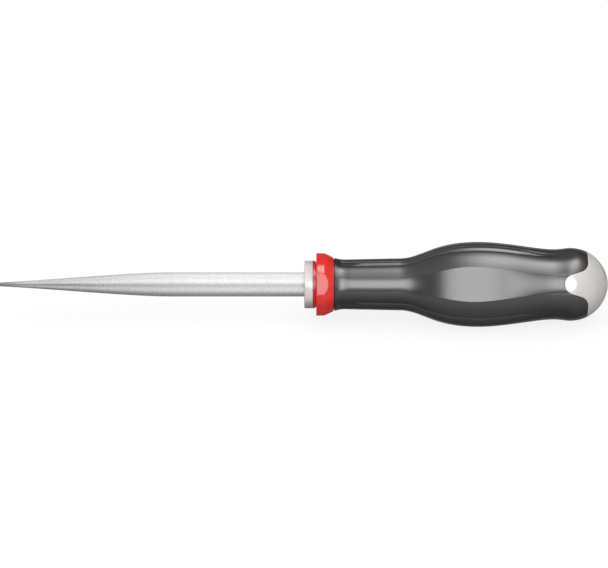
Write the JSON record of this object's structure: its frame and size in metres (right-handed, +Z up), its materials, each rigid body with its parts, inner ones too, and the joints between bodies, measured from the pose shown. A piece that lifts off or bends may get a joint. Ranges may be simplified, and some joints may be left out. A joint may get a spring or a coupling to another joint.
{
  "type": "flathead screwdriver",
  "caption": "Flathead screwdriver with a round forged blade, steel bolster, coloured anti-roll ring, three-sided ribbed dark grip and a light domed end cap.",
  "frame": {"origin": "middle of the blade's flat end, on the tool's axis", "axes": "+X along the tool from the flat end to the butt, +Z up with one side of the handle facing straight down as the tool lies"},
  "size_m": [0.2497, 0.0348, 0.034],
  "materials": {
    "satin_blade_steel": "satin, sand-blasted and plated",
    "turned_bolster_steel": "fine turned",
    "red_ring_plastic": "gloss moulded",
    "grey_core_plastic": "as moulded",
    "dark_grip_plastic": "satin moulded",
    "light_cap_plastic": "satin moulded"
  },
  "bodies": {
    "root": {"blade": "satin_blade_steel", "bolster": "turned_bolster_steel", "colour_ring": "red_ring_plastic", "handle_core": "grey_core_plastic", "grip": "dark_grip_plastic", "end_cap": "light_cap_plastic"}
  },
  "joints": []
}
